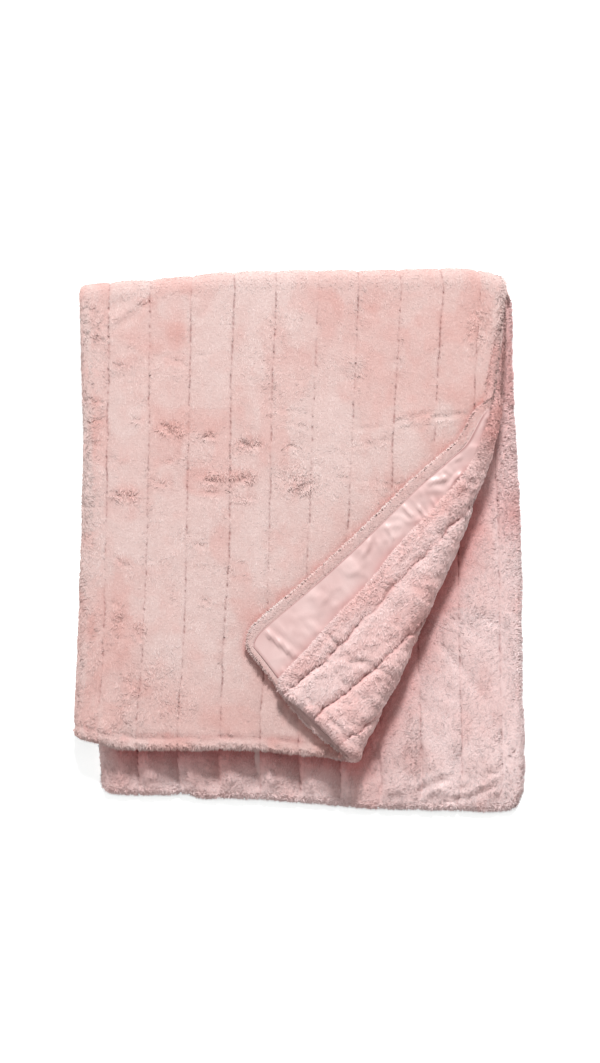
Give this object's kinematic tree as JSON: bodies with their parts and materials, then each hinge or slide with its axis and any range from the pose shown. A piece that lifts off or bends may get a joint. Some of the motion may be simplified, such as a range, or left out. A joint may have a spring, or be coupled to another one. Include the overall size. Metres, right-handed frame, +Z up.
{
  "type": "folded faux fur throw",
  "caption": "Pale pink faux fur throw with sewn channels and satin lining, folded in quarters, its lower right corner turned over to the left.",
  "frame": {"origin": "middle of the folded throw's box, on the surface it lies on", "axes": "+Z up, +Y to the top fold, +X to the edge where the hems are, opposite the left fold"},
  "size_m": [0.6658, 0.8036, 0.0706],
  "materials": {
    "faux_fur": "matte",
    "satin": "satin"
  },
  "bodies": {
    "root": {"fur_face": "faux_fur", "satin_lining": "satin"}
  },
  "joints": []
}
